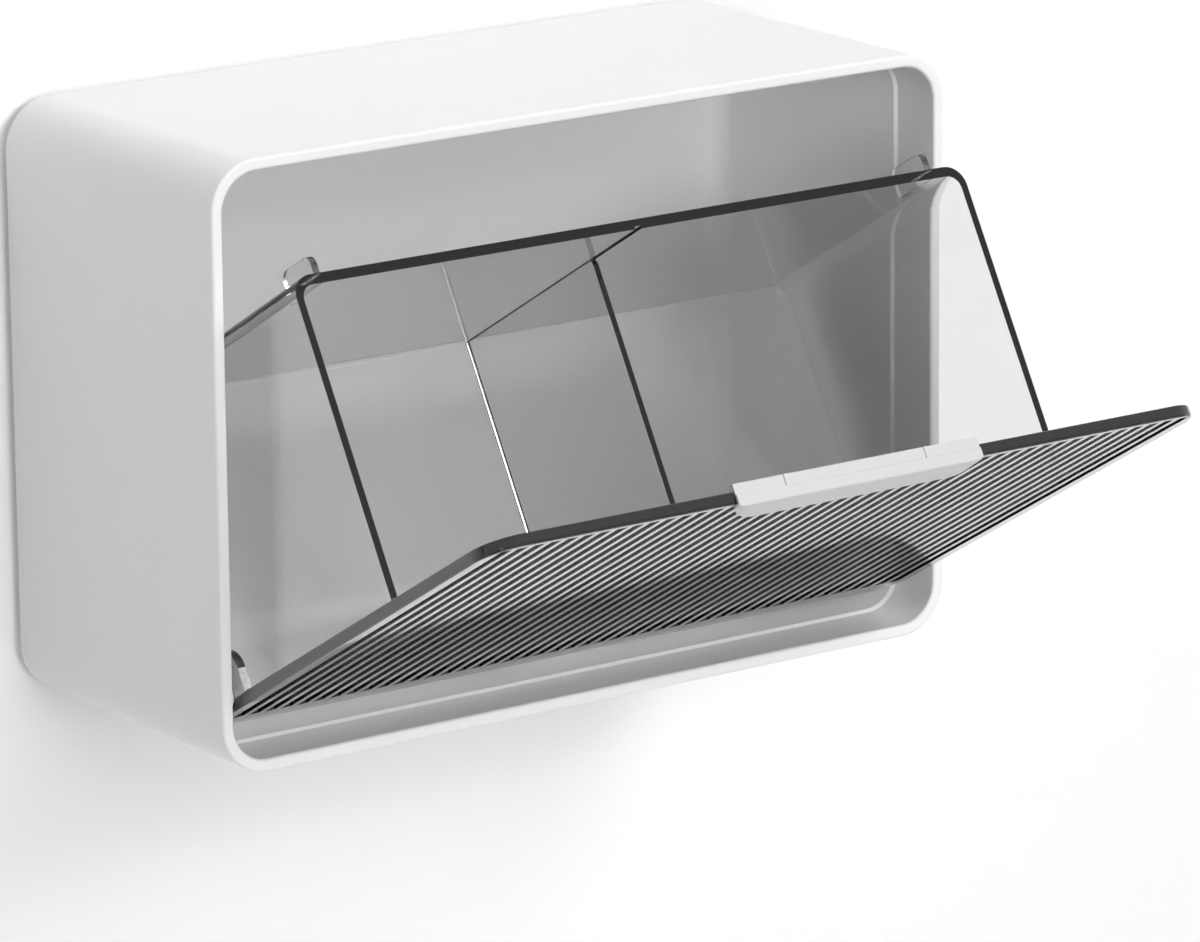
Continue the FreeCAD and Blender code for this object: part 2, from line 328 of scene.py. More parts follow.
    def piece(self, name: str, place: Matrix) -> bpy.types.Object:
        """Finishes the mesh as an object at the origin.

        Edges that turn more than SHARP_ANGLE stay sharp.

        Args:
            name: The object's name.
            place: The matrix that takes the mesh to its place in the row frame.

        Returns:
            The new object, linked to the scene.
        """
        bmesh.ops.remove_doubles(self.bm, verts=self.bm.verts, dist=TOUCH)
        bmesh.ops.recalc_face_normals(self.bm, faces=self.bm.faces)
        bmesh.ops.transform(self.bm, matrix=place, verts=self.bm.verts)
        for face in self.bm.faces:
            face.smooth = True
        for edge in self.bm.edges:
            edge.smooth = edge.calc_face_angle(math.pi) < SHARP_ANGLE
        obj = linked(name, self.bm)
        harden = obj.modifiers.new("face_normals", "WEIGHTED_NORMAL")
        harden.keep_sharp = True
        return obj


def linked(name: str, bm: bmesh.types.BMesh) -> bpy.types.Object:
    """Turns a mesh that is done into an object, linked to the scene."""
    mesh = bpy.data.meshes.new(name)
    bm.to_mesh(mesh)
    bm.free()
    obj = bpy.data.objects.new(name, mesh)
    bpy.context.scene.collection.objects.link(obj)
    return obj


def rounded(outline: Sequence[tuple[Vector, float]], steps: int = 3) -> list[Vector]:
    """Rounds the corners of a closed outline.

    Args:
        outline: Each corner, with its rounding's reach along both sides, or 0 for a sharp one.
        steps: How many flats round one corner.

    Returns:
        The outline's points.
    """
    longest_share = 0.45
    points = []
    for index, (corner, reach) in enumerate(outline):
        if reach == 0:
            points.append(corner)
            continue
        before = outline[index - 1][0] - corner
        after = outline[(index + 1) % len(outline)][0] - corner
        start = corner + before.normalized() * min(reach, before.length * longest_share)
        end = corner + after.normalized() * min(reach, after.length * longest_share)
        for step in range(steps + 1):
            t = step / steps
            points.append(start * (1 - t) ** 2 + corner * 2 * t * (1 - t) + end * t ** 2)
    return points


class Wire:
    """A shader socket that takes part in sums, so that maths on it adds the nodes."""

    def __init__(self, tree: bpy.types.NodeTree, socket: bpy.types.NodeSocket) -> None:
        """Wraps a socket of a node tree."""
        self.tree = tree
        self.socket = socket

    def _maths(self, operation: str, first: Wire | float, second: Wire | float) -> Wire:
        """Adds a Math node on two values and returns its result."""
        node = self.tree.nodes.new("ShaderNodeMath")
        node.operation = operation
        for socket, value in zip(node.inputs, (first, second)):
            if isinstance(value, Wire):
                self.tree.links.new(value.socket, socket)
            else:
                socket.default_value = value
        return Wire(self.tree, node.outputs[0])

    def __add__(self, other: Wire | float) -> Wire:
        """Adds a value."""
        return self._maths("ADD", self, other)

    __radd__ = __add__

    def __sub__(self, other: Wire | float) -> Wire:
        """Takes a value away."""
        return self._maths("SUBTRACT", self, other)

    def __mul__(self, other: Wire | float) -> Wire:
        """Multiplies by a value."""
        return self._maths("MULTIPLY", self, other)

    __rmul__ = __mul__

    def maximum(self, other: Wire | float) -> Wire:
        """The larger of this and a value."""
        return self._maths("MAXIMUM", self, other)


def seen_directly(tree: bpy.types.NodeTree) -> Wire:
    """1 for the camera's rays, straight, mirrored or through clear plastic, and 0 for light."""
    path = tree.nodes.new("ShaderNodeLightPath")
    seen = Wire(tree, path.outputs["Is Camera Ray"])
    for kind in ("Is Glossy Ray", "Is Transmission Ray"):
        seen = seen.maximum(Wire(tree, path.outputs[kind]))
    return seen


class Paintbox:
    """Builds one node material."""

    def __init__(self, name: str) -> None:
        """Makes an empty node material with that name."""
        self.material = bpy.data.materials.new(name)
        self.material.use_nodes = True
        self.tree = self.material.node_tree
        self.tree.nodes.clear()
        self.output = self.tree.nodes.new("ShaderNodeOutputMaterial")

    def node(self, kind: str, settings: dict | None = None, **sockets: object) -> bpy.types.Node:
        """Adds a node.

        Args:
            kind: The node's type.
            settings: Its properties, set before its sockets.
            sockets: Values or wires for its inputs, with underscores for spaces.

        Returns:
            The new node.
        """
        made = self.tree.nodes.new(kind)
        for key, value in (settings or {}).items():
            setattr(made, key, value)
        for key, value in sockets.items():
            socket = made.inputs[key.replace("_", " ")]
            if isinstance(value, Wire):
                self.tree.links.new(value.socket, socket)
            else:
                socket.default_value = value
        return made

    def wire(self, node: bpy.types.Node, output: str | int = 0) -> Wire:
        """Wraps one of a node's outputs."""
        return Wire(self.tree, node.outputs[output])

    def join(self, source: bpy.types.Node, target: bpy.types.NodeSocket) -> None:
        """Links a node's first output to a socket."""
        self.tree.links.new(source.outputs[0], target)

    def noise(self, size: float, detail: float) -> Wire:
        """Noise on object coordinates.

        Args:
            size: How wide its blotches are.
            detail: How much finer grain it holds.

        Returns:
            The noise, from 0 to 1.
        """
        place = self.wire(self.node("ShaderNodeTexCoord"), "Object")
        made = self.node("ShaderNodeTexNoise", Vector=place, Scale=1.0 / size, Detail=detail)
        return self.wire(made, "Fac")

    def bump(self, height: Wire, distance: float, strength: float) -> Wire:
        """A normal that is tilted by a height.

        Args:
            height: The height, from 0 to 1.
            distance: How high 1 is.
            strength: How much of the tilt is kept.

        Returns:
            The normal.
        """
        made = self.node("ShaderNodeBump", Height=height, Distance=distance, Strength=strength)
        return self.wire(made)

    def finish(
        self, surface: bpy.types.Node, volume: bpy.types.Node | None = None,
    ) -> bpy.types.Material:
        """Links the last shader to the output and returns the material."""
        self.join(surface, self.output.inputs["Surface"])
        if volume is not None:
            self.join(volume, self.output.inputs["Volume"])
        return self.material


@dataclass(frozen=True)
class SatinPlastic:
    """Opaque moulded plastic with a fine satin grain and faint flow marks."""

    name: str
    shade: tuple[float, float, float]
    roughness: float = 0.38
    roughness_change: float = 0.08
    grain_size: float = 0.35 * MM
    grain_height: float = 0.004 * MM
    grain_strength: float = 0.6
    flow_size: float = 22 * MM
    flow_tone: float = 0.012

    def material(self) -> bpy.types.Material:
        """Builds the finish.

        Returns:
            The material.
        """
        box = Paintbox(self.name)
        flow = box.noise(self.flow_size, detail=3.0)
        grain = box.noise(self.grain_size, detail=1.0)
        darker = tuple(channel * (1 - self.flow_tone) for channel in self.shade)
        tone = box.node("ShaderNodeMix", {"data_type": "RGBA"}, Factor=flow)
        colour_inputs = [socket for socket in tone.inputs if socket.type == "RGBA"]
        for socket, shade in zip(colour_inputs, (self.shade, darker)):
            socket.default_value = (*shade, 1.0)
        colour = Wire(box.tree, next(out for out in tone.outputs if out.type == "RGBA"))
        shader = box.node(
            "ShaderNodeBsdfPrincipled",
            Base_Color=colour,
            Roughness=self.roughness + self.roughness_change * (flow - 0.5),
            Normal=box.bump(grain, self.grain_height, self.grain_strength),
            IOR=PLASTIC_IOR,
        )
        return box.finish(shader)


@dataclass(frozen=True)
class SmokePlastic:
    """Clear smoke-grey plastic, darker where the light's way through it is longer."""

    name: str
    tint: tuple[float, float, float] = (0.985, 0.987, 0.99)
    density: float = 80.0
    coat: float = 0.0
    soak: tuple[float, float, float] = (0.02, 0.03, 0.04)
    roughness: float = 0.025
    smudge_roughness: float = 0.02
    smudge_size: float = 10 * MM
    ripple_size: float = 30 * MM
    ripple_height: float = 0.02 * MM
    ripple_strength: float = 0.5

    def material(self) -> bpy.types.Material:
        """Builds the finish.

        Returns:
            The material.
        """
        box = Paintbox(self.name)
        ripple = box.noise(self.ripple_size, detail=0.0)
        smudge = box.noise(self.smudge_size, detail=2.0)
        shader = box.node(
            "ShaderNodeBsdfPrincipled",
            Base_Color=(*self.tint, 1.0),
            Roughness=self.roughness + self.smudge_roughness * smudge,
            Normal=box.bump(ripple, self.ripple_height, self.ripple_strength),
            IOR=PLASTIC_IOR,
            Transmission_Weight=1.0,
            Coat_Weight=self.coat,
        )
        soak = box.node(
            "ShaderNodeVolumeAbsorption", Color=(*self.soak, 1.0), Density=self.density,
        )
        return box.finish(shader, soak)


@dataclass
class Finishes:
    """Every finish of the object, built once."""

    casing: bpy.types.Material = field(init=False)
    casing_inside_painted_light: bpy.types.Material = field(init=False)
    handle: bpy.types.Material = field(init=False)
    smoke: bpy.types.Material = field(init=False)
    front_smoke_painted_shade: bpy.types.Material = field(init=False)
    flute_painted_shade_smoke: bpy.types.Material = field(init=False)
    pin: bpy.types.Material = field(init=False)
    plate: bpy.types.Material = field(init=False)
    pad: bpy.types.Material = field(init=False)

    def __post_init__(self) -> None:
        """Builds the materials."""
        self.casing = SatinPlastic("white_casing_plastic", (0.87, 0.87, 0.871)).material()
        # The inside is the same white plastic made brighter: painted light in the cavity.
        self.casing_inside_painted_light = SatinPlastic("white_inside_plastic", (0.97, 0.97, 0.971)).material()
        self.handle = SatinPlastic(
            "white_handle_plastic", (0.6, 0.6, 0.602), roughness=0.34,
        ).material()
        self.smoke = SmokePlastic("smoke_plastic").material()
        # The front panel's smoke is made denser so it also stands in for the bin's missing contents
        # and the shade among them: painted shade.
        self.front_smoke_painted_shade = SmokePlastic("smoke_front_plastic", density=260.0, coat=0.7).material()
        # The flutes' walls and floors get a darker, grey-tinted smoke: painted shade in the
        # grooves.
        self.flute_painted_shade_smoke = SmokePlastic(
            "smoke_flute_plastic", tint=(0.56, 0.565, 0.57), density=240.0, coat=0.5,
        ).material()
        self.pin = SatinPlastic("pin_plastic", (0.82, 0.82, 0.83), roughness=0.3).material()
        self.plate = SatinPlastic("plate_plastic", (0.78, 0.78, 0.79), roughness=0.5).material()
        self.pad = SatinPlastic(
            "pad_foam", (0.80, 0.80, 0.78), roughness=0.9,
            grain_size=0.8 * MM, grain_height=0.15 * MM, flow_tone=0.06,
        ).material()


def dress(obj: bpy.types.Object, *materials: bpy.types.Material) -> None:
    """Gives an object its materials, in the order of its faces' material numbers."""
    while len(obj.material_slots) < len(materials):
        obj.data.materials.append(None)
    for index, material_slot in enumerate(obj.material_slots):
        material_slot.material = materials[min(index, len(materials) - 1)]


def settle(obj: bpy.types.Object, body: str, nodes: Sequence[str]) -> None:
    """Ties a new piece to the frame.

    Args:
        obj: The piece.
        body: The body that it rides on.
        nodes: The CAD nodes that it stands for.
    """
    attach(obj, body)
    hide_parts(*nodes)
    log.info("%s rides on %s and replaces %s", obj.name, body, ", ".join(nodes))


@dataclass
class Casing:
    """The white box, its hinge pins, and the plate and pad that hold it to the wall.

    The pegs are the two stops inside the side walls that the open bin's lugs rest on.
    """

    finishes: Finishes
    wall: float = 2.6 * MM
    back_wall: float = 2.0 * MM
    corner: Arc = Arc(10.5 * MM, 40)
    rebate_depth: float = 12.2 * MM
    rebate_step: float = 0.5 * MM
    rebate_slope: float = 0.8 * MM
    back_fillet: Arc = Arc(5.0 * MM, 8)
    rim_round: Arc = Arc(0.7 * MM, 4)
    rear_round: Arc = Arc(0.5 * MM, 3)
    least_fold: float = 0.1
    peg: Arc = Arc(1.2 * MM, 24)
    peg_end: Arc = Arc(0.2 * MM, 2)
    peg_length: float = 4.2 * MM
    peg_place: tuple[float, float] = (-67.86 * MM, -68.14 * MM)
    slot_x: Span = Span(30.5 * MM, 39.5 * MM)
    slot_z: Span = Span(23.7 * MM, 31.1 * MM)

    def build(self) -> None:
        """Models the casing and dresses the pieces that stay as they are."""
        self._shell()
        frame_nodes = {
            "wall_plate": self.finishes.plate,
            "adhesive_pad": self.finishes.pad,
            "hinge_pin_left": self.finishes.pin,
            "hinge_pin_right": self.finishes.pin,
        }
        for name, material in frame_nodes.items():
            dress(bpy.data.objects[name], material)
            log.info("%s keeps its CAD shape", name)

    def _shell(self) -> None:
        """Models the white box with its rebate, cavity, pegs and slots."""
        low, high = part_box("outer_casing")
        shell = Moulding(Span(low.x, high.x), Span(low.y, high.y), Span(low.z, high.z))
        long_edges = shell.edges(lambda _, extent: extent.y > 2 * self.wall)
        shell.bevel(long_edges, self.corner)
        mouth = shell.inset(shell.faces(Axis.Y, -1, low.y)[0], self.wall)
        mouth = shell.push([mouth], Vector((0, self.rebate_depth, 0)))[0]
        mouth.normal_update()
        mouth = shell.inset(mouth, self.rebate_step, -self.rebate_slope)
        cavity_rear = high.y - self.back_wall
        cavity_front = low.y + self.rebate_depth + self.rebate_slope
        shell.push([mouth], Vector((0, cavity_rear - cavity_front, 0)))
        self._round_edges(shell, low.y, high.y, cavity_rear)
        self._cut_slots(shell, high.y, cavity_rear)
        inside = Span(low.y + self.rim_round.radius, high.y - self.back_wall / 2)
        self._mark_inside(shell, inside)
        for side in (-1, 1):
            reach = high.x - self.wall / 2 - self.peg_length / 2
            place = Vector((side * reach, *self.peg_place))
            shell.add_rod(place, self.peg, self.peg_length, self.peg_end)
        casing = shell.piece("casing_shell", Matrix.Identity(4))
        # Inside faces take the brighter white, which paints light into the cavity.
        dress(casing, self.finishes.casing, self.finishes.casing_inside_painted_light)
        settle(casing, "casing", ["outer_casing"])

    def _round_edges(self, shell: Moulding, front: float, rear: float, cavity_rear: float) -> None:
        """Rounds the cavity's back, the rim and the outer rear edge.

        Args:
            shell: The casing so far.
            front: The rim's place along Y.
            rear: The outer back's place along Y.
            cavity_rear: The inner back's place along Y.
        """
        for at, arc in (
            (cavity_rear, self.back_fillet),
            (front, self.rim_round),
            (rear, self.rear_round),
        ):
            loop = shell.edges(
                lambda middle, extent: abs(middle.y - at) < TOUCH and extent.y < TOUCH
            )
            shell.bevel(folded(loop, self.least_fold), arc)

    def _cut_slots(self, shell: Moulding, rear: float, cavity_rear: float) -> None:
        """Cuts the two slots that the wall plate's hooks reach through."""
        for span in (self.slot_x, self.slot_x.mirrored()):
            holes = []
            for sign, at in ((1, rear), (-1, cavity_rear)):
                wall = shell.faces(Axis.Y, sign, at)
                holes += shell.window(wall, (Axis.X, span), (Axis.Z, self.slot_z))
            edges = list(dict.fromkeys(edge for hole in holes for edge in hole.edges))
            bmesh.ops.delete(shell.bm, geom=holes, context="FACES_ONLY")
            bmesh.ops.bridge_loops(shell.bm, edges=edges)

    def _mark_inside(self, shell: Moulding, depth: Span) -> None:
        """Gives the faces that look into the casing the second material, a brighter copy of the
        white that paints light into the cavity.

        Args:
            shell: The casing so far.
            depth: The stretch along Y that the inside takes up.
        """
        bmesh.ops.recalc_face_normals(shell.bm, faces=shell.bm.faces)
        heights = [vert.co.z for vert in shell.bm.verts]
        middle_height = (min(heights) + max(heights)) / 2
        for face in shell.bm.faces:
            middle = face.calc_center_bounds()
            away = face.normal.x * middle.x + face.normal.z * (middle.z - middle_height)
            if away < TOUCH and depth.low < middle.y < depth.high:
                face.material_index = 1


@dataclass
class TiltBin:
    """The smoke-grey bin with its fluted front, divider and handle.

    Its pieces are modelled closed, with y measured back from the front's outer face and z up from
    its bottom edge, and are then turned about the hinge into their place at rest. The bin first
    reaches forward past the front panel's inner face by the spare length, and is cut off there.
    """

    finishes: Finishes
    joint: dict
    pivot_back: float = 3.4 * MM
    pivot_up: float = 12.6 * MM
    front_width: float = 173.2 * MM
    front_height: float = 117.2 * MM
    front_thickness: float = 2.45 * MM
    front_corner: Arc = Arc(7.5 * MM, 14)
    inner_edge: Arc = Arc(0.3 * MM, 3)
    outer_edge: Arc = Arc(0.7 * MM, 4)
    flute_count: int = 44
    flute_width: float = 2.3 * MM
    flute_depth: float = 0.8 * MM
    flute_side_margin: float = 3.35 * MM
    flute_z: Span = Span(6.5 * MM, 115.4 * MM)
    flute_edge: Arc = Arc(0.14 * MM, 2)
    lug_corner: Arc = Arc(4.9 * MM, 8)
    lug_thickness: float = 1.85 * MM
    lug_z: Span = Span(9.2 * MM, 19.2 * MM)
    lug_reach: float = 12.0 * MM
    bin_width: float = 164.4 * MM
    bin_z: Span = Span(1.5 * MM, 72.7 * MM)
    bin_back: float = 69.9 * MM
    floor_thickness: float = 2.0 * MM
    side_wall: float = 1.6 * MM
    rear_wall: float = 2.1 * MM
    bin_corner: Arc = Arc(4.5 * MM, 8)
    bottom_round: Arc = Arc(2.5 * MM, 6)
    rim_round: Arc = Arc(0.18 * MM, 3)
    groove_width: float = 1.6 * MM
    groove_depth: float = 0.6 * MM
    ear_x: Span = Span(74.2 * MM, 75.7 * MM)
    ear_z: Span = Span(60.0 * MM, 71.0 * MM)
    ear_reach: float = 4.3 * MM
    ear_corner: Arc = Arc(2.0 * MM, 5)
    divider_thickness: float = 1.4 * MM
    divider_y: Span = Span(2.75 * MM, 68.3 * MM)
    divider_z: Span = Span(3.0 * MM, 55.0 * MM)
    divider_corner: Arc = Arc(2.0 * MM, 6)
    divider_edge: Arc = Arc(0.2 * MM, 2)
    spare: float = 10 * MM
    handle_length: float = 59.2 * MM
    handle_cap: float = 0.6 * MM
    handle_top_reach: float = 0.8 * MM
    handle_skirt_reach: float = 2.1 * MM
    handle_skirt_height: float = 4.7 * MM
    handle_lip: float = 1.5 * MM
    handle_lip_height: float = 4.6 * MM
    handle_corner: float = 4.6 * MM
    handle_end: float = 6.0 * MM
    handle_end_reach: float = 0.4 * MM
    handle_step: float = 0.3 * MM
    handle_step_back: float = 1.6 * MM
    handle_top_round: float = 0.35 * MM
    handle_step_round: float = 0.12 * MM
    handle_back_round: float = 0.3 * MM
    handle_lip_round: float = 0.2 * MM
    handle_skirt_round: float = 0.25 * MM
    rib_spacing: float = 34.0 * MM
    rib_width: float = 1.3 * MM
    rib_slope: float = 0.06 * MM
    rib_drop: float = 0.015 * MM

    @property
    def place(self) -> Matrix:
        """The matrix that takes a closed piece to its place at rest."""
        pivot = Vector(self.joint["pos_m"])
        opening = -math.radians(self.joint["range_deg"][0])
        back = Matrix.Translation((0, -self.pivot_back, -self.pivot_up))
        return Matrix.Translation(pivot) @ Matrix.Rotation(opening, 4, "X") @ back

    def build(self) -> None:
        """Models every piece of the bin."""
        looks = self.finishes
        front_looks = (looks.front_smoke_painted_shade, looks.flute_painted_shade_smoke)
        for obj, body, slot, node, materials in (
            (self._front(), "bin", "smoke_plastic", "fluted_front", front_looks),
            (self._bin(), "bin", "smoke_plastic", "tilt_bin", (looks.smoke,)),
            (self._divider(), "divider", "smoke_plastic", "bin_divider", (looks.smoke,)),
            (self._handle(), "bin", "handle_plastic", "pull_handle", (looks.handle,)),
        ):
            dress(obj, *materials)
            settle(obj, body, [node])

    def _front(self) -> bpy.types.Object:
        """Models the front panel with its flutes and lugs.

        Returns:
            The panel.
        """
        half = self.front_width / 2
        thickness = Span(0.0, self.front_thickness)
        panel = Moulding(Span(-half, half), thickness, Span(0.0, self.front_height))
        upright_corners = panel.edges(lambda _, extent: extent.y > TOUCH)
        panel.bevel(upright_corners, self.front_corner)
        self._add_lugs(panel, half)
        inner_edge = panel.edges(
            lambda middle, extent: extent.y < TOUCH
            and abs(middle.y - self.front_thickness) < TOUCH
            and middle.z > self.lug_z.high + TOUCH
        )
        panel.bevel(folded(inner_edge), self.inner_edge)
        outer_edge = panel.edges(lambda middle, extent: extent.y < TOUCH and abs(middle.y) < TOUCH)
        panel.bevel(outer_edge, self.outer_edge)
        self._cut_flutes(panel, half)
        return panel.piece("front_panel", self.place)

    def _add_lugs(self, panel: Moulding, half: float) -> None:
        """Draws a round-ended lug out of the panel's inner face at each side."""
        for sign in (-1, 1):
            lug_x = Span(half - self.lug_thickness, half)
            lug_x = lug_x if sign > 0 else lug_x.mirrored()
            inner_face = panel.faces(Axis.Y, 1, self.front_thickness)
            root = panel.window(inner_face, (Axis.X, lug_x), (Axis.Z, self.lug_z))
            panel.push(root, Vector((0, self.lug_reach - self.front_thickness, 0)))
            ends = panel.edges(
                lambda middle, extent: abs(middle.y - self.lug_reach) < TOUCH
                and extent.z < TOUCH and lug_x.holds(middle.x)
            )
            panel.bevel(ends, self.lug_corner)

    def _cut_flutes(self, panel: Moulding, half: float) -> None:
        """Sinks the upright flutes into the panel's outer face and gives their faces the darker
        smoke that paints shade into them.
        """
        reach = self.flute_width / 2
        first = -half + self.flute_side_margin + reach
        pitch = -2 * first / (self.flute_count - 1)
        centres = [first + index * pitch for index in range(self.flute_count)]
        flutes = [Span(centre - reach, centre + reach) for centre in centres]
        faces = panel.faces(Axis.Y, -1, 0.0)
        for at in (self.flute_z.low, self.flute_z.high):
            faces = panel.slice(faces, Axis.Z, at)
        band = [face for face in faces if self.flute_z.holds(face.calc_center_bounds().z, 0.0)]
        for flute in flutes:
            for at in (flute.low, flute.high):
                band = panel.slice(band, Axis.X, at)
        floors = [
            face for face in band
            if any(flute.holds(face.calc_center_bounds().x, 0.0) for flute in flutes)
        ]
        for floor in panel.push(floors, Vector((0, self.flute_depth, 0))):
            for edge in floor.edges:
                # Faces round each flute floor take the darker smoke, which paints shade into the
                # groove.
                for face in edge.link_faces:
                    face.material_index = 1
        lips = panel.edges(
            lambda middle, extent: abs(middle.y) < TOUCH and extent.y < TOUCH
            and self.flute_z.holds(middle.z) and abs(middle.x) < half - self.flute_side_margin / 2
        )
        panel.bevel(folded(lips), self.flute_edge)

    def _bin(self) -> bpy.types.Object:
        """Models the bin: floor, two side walls, a rear wall and its ears.

        Returns:
            The bin.
        """
        half = self.bin_width / 2
        depth = Span(self.front_thickness - self.spare, self.bin_back)
        shell = Moulding(Span(-half, half), depth, self.bin_z)
        rear = shell.edges(
            lambda middle, extent: extent.z > self.spare and abs(middle.y - self.bin_back) < TOUCH
        )
        shell.bevel(rear, self.bin_corner)
        top = shell.faces(Axis.Z, 1, self.bin_z.high)[0]
        top = shell.inset(top, self.side_wall)
        inner_rear = [vert for vert in top.verts if vert.co.y > self.bin_back / 2]
        bmesh.ops.translate(shell.bm, vec=(0, self.side_wall - self.rear_wall, 0), verts=inner_rear)
        floor_top = self.bin_z.low + self.floor_thickness
        shell.push([top], Vector((0, 0, floor_top - self.bin_z.high)))
        self._open_front(shell)
        self._cut_groove(shell, floor_top)
        self._add_ears(shell)
        front_y = self.front_thickness
        bottom = shell.edges(
            lambda middle, extent: abs(middle.z - self.bin_z.low) < TOUCH and extent.z < TOUCH
            and abs(middle.y - front_y) > TOUCH
        )
        shell.bevel(bottom, self.bottom_round)
        rim = shell.edges(
            lambda middle, extent: abs(middle.z - self.bin_z.high) < TOUCH and extent.z < TOUCH
            and middle.y > front_y + TOUCH
        )
        rim = [
            edge for edge in folded(rim)
            if any(abs(vert.co.x) > self.groove_width / 2 + TOUCH for vert in edge.verts)
        ]
        shell.bevel(rim, self.rim_round)
        return shell.piece("bin_shell", self.place)

    def _open_front(self, shell: Moulding) -> None:
        """Cuts the bin off where the front panel is bonded to it, and closes the cut."""
        everything = shell.bm.verts[:] + shell.bm.edges[:] + shell.bm.faces[:]
        cut = bmesh.ops.bisect_plane(
            shell.bm, geom=everything, dist=CUT,
            plane_co=(0, self.front_thickness, 0), plane_no=(0, -1, 0), clear_outer=True,
        )["geom_cut"]
        bmesh.ops.contextual_create(shell.bm, geom=only(BMEdge, cut))

    def _cut_groove(self, shell: Moulding, floor_top: float) -> None:
        """Sinks the divider's groove into the rear wall, open at the rim, and into the floor."""
        strip = Span(-self.groove_width / 2, self.groove_width / 2)
        inside_back = self.bin_back - self.rear_wall
        groove_back = inside_back + self.groove_depth
        upright = Span(floor_top - TOUCH, self.bin_z.high + TOUCH)
        shell.window(shell.faces(Axis.Y, -1, inside_back), (Axis.X, strip), (Axis.Z, upright))
        rim = shell.faces(Axis.Z, 1, self.bin_z.high)
        mouth = shell.window(rim, (Axis.X, strip), (Axis.Y, Span(inside_back - TOUCH, groove_back)))
        shell.push(mouth, Vector((0, 0, floor_top - self.bin_z.high)))
        lining = [
            face for face in shell.bm.faces
            if all(
                abs(vert.co.y - inside_back) < TOUCH and abs(vert.co.x) < strip.high + TOUCH
                for vert in face.verts
            )
        ]
        bmesh.ops.delete(shell.bm, geom=lining, context="FACES")
        bmesh.ops.remove_doubles(shell.bm, verts=shell.bm.verts, dist=CUT)
        shell.bm.normal_update()
        floor = shell.faces(Axis.Z, 1, floor_top)
        level = Span(self.front_thickness - TOUCH, groove_back + TOUCH)
        groove = shell.window(floor, (Axis.X, strip), (Axis.Y, level))
        shell.push(groove, Vector((0, 0, -self.groove_depth)))

    def _add_ears(self, shell: Moulding) -> None:
        """Draws the two ears out of the rear wall's outer face."""
        for span in (self.ear_x, self.ear_x.mirrored()):
            wall = shell.faces(Axis.Y, 1, self.bin_back)
            root = shell.window(wall, (Axis.X, span), (Axis.Z, self.ear_z))
            shell.push(root, Vector((0, self.ear_reach, 0)))
            tip = self.bin_back + self.ear_reach
            corners = shell.edges(
                lambda middle, extent: abs(middle.y - tip) < TOUCH and extent.z < TOUCH
                and span.holds(middle.x)
            )
            shell.bevel(corners, self.ear_corner)

    def _divider(self) -> bpy.types.Object:
        """Models the loose divider plate.

        Returns:
            The divider.
        """
        half = self.divider_thickness / 2
        plate = Moulding(Span(-half, half), self.divider_y, self.divider_z)
        top = plate.edges(
            lambda middle, extent: extent.x > half and abs(middle.z - self.divider_z.high) < TOUCH
        )
        plate.bevel(top, self.divider_corner)
        sides = plate.edges(lambda middle, extent: extent.x < TOUCH)
        plate.bevel(sides, self.divider_edge)
        return plate.piece("divider_plate", self.place)

    def _handle(self) -> bpy.types.Object:
        """Models the clip-on handle by drawing its cross-section out along X.

        Returns:
            The handle.
        """
        half = self.handle_length / 2
        steps = 10
        turns = [QUARTER_TURN * index / steps for index in range(steps + 1)]
        offsets = [self.handle_end * (1 - math.cos(turn)) for turn in turns]
        stations = [-half + offset for offset in offsets]
        for side in (-1, 1):
            for edge in (-self.rib_width / 2, self.rib_width / 2):
                middle = side * self.rib_spacing / 2 + edge
                stations += [middle - self.rib_slope, middle + self.rib_slope]
        stations = sorted(stations + [half - offset for offset in offsets])
        clip = Moulding.drawn(stations, self._clip_section)
        return clip.piece("handle_clip", self.place)

    def _clip_section(self, x: float) -> list[Vector]:
        """The handle's cross-section at a place along it.

        Args:
            x: The place.

        Returns:
            Its corners, with the outer ones rounded.
        """
        half = self.handle_length / 2
        top = self.front_height + self.handle_cap
        sagitta = self.handle_skirt_reach - self.handle_end_reach
        sweep = (self.handle_end ** 2 + sagitta ** 2) / (2 * sagitta)
        past = max(0.0, abs(x) - (half - self.handle_end))
        limit = self.handle_skirt_reach - sweep + math.sqrt(sweep ** 2 - past ** 2)
        corner = self.handle_corner
        past = min(corner, max(0.0, abs(x) - (half - corner)))
        raised = corner - math.sqrt(corner ** 2 - past ** 2)
        bottom = self.front_height - self.handle_skirt_height + raised
        lip_bottom = max(bottom, self.front_height - self.handle_lip_height)
        lip_back = self.front_thickness + self.handle_lip
        low = top - self.handle_step
        if abs(abs(x) - self.rib_spacing / 2) < self.rib_width / 2:
            low = top - self.rib_drop

        def front(height: float) -> Vector:
            """The front face's place at a height."""
            rise = (top - height) / (self.handle_cap + self.handle_skirt_height)
            lean = self.handle_top_reach + (self.handle_skirt_reach - self.handle_top_reach) * rise
            return Vector((x, -min(lean, limit), height))

        outline = [
            (front(top), self.handle_top_round),
            (Vector((x, self.handle_step_back, top)), self.handle_step_round),
            (Vector((x, self.handle_step_back, low)), self.handle_step_round),
            (Vector((x, lip_back, low)), self.handle_back_round),
            (Vector((x, lip_back, lip_bottom)), self.handle_lip_round),
            (Vector((x, self.front_thickness, lip_bottom)), 0.0),
            (Vector((x, self.front_thickness, self.front_height)), 0.0),
            (Vector((x, 0.0, self.front_height)), 0.0),
            (Vector((x, 0.0, bottom)), 0.0),
            (front(bottom), self.handle_skirt_round),
            (front(bottom + (top - bottom) / 3), 0.0),
            (front(bottom + (top - bottom) * 2 / 3), 0.0),
        ]
        return rounded(outline)


@dataclass(frozen=True)
class Softbox:
    """A soft square lamp."""

    name: str
    place: tuple[float, float, float]
    size: float
    power: float


